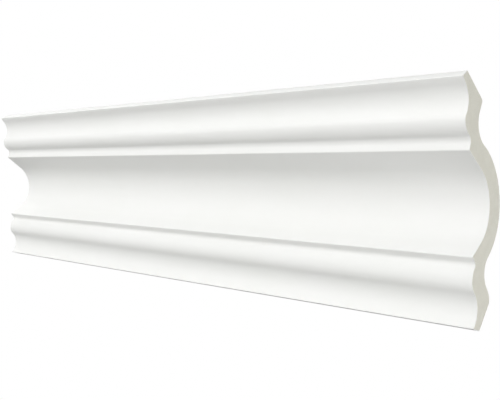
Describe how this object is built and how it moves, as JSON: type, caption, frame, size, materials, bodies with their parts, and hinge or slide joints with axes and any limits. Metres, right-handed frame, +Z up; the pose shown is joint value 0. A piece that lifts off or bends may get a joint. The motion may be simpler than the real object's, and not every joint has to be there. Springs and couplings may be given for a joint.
{
  "type": "crown moulding length",
  "caption": "Length of crown moulding: a thin S-shaped shell with beads and a large cove, leaning in the corner where a wall meets a ceiling.",
  "frame": {"origin": "the middle of the flat that lies on the wall, halfway along the length", "axes": "+X along the length, +Y out of the back into the wall, +Z up to the ceiling; the face looks towards -Y and down"},
  "size_m": [0.51, 0.1039, 0.1024],
  "materials": {
    "white_primer": "satin white factory primer on rigid foam, bare warm grey foam at the cut ends"
  },
  "bodies": {
    "root": {"crown_moulding": "white_primer"}
  },
  "joints": []
}
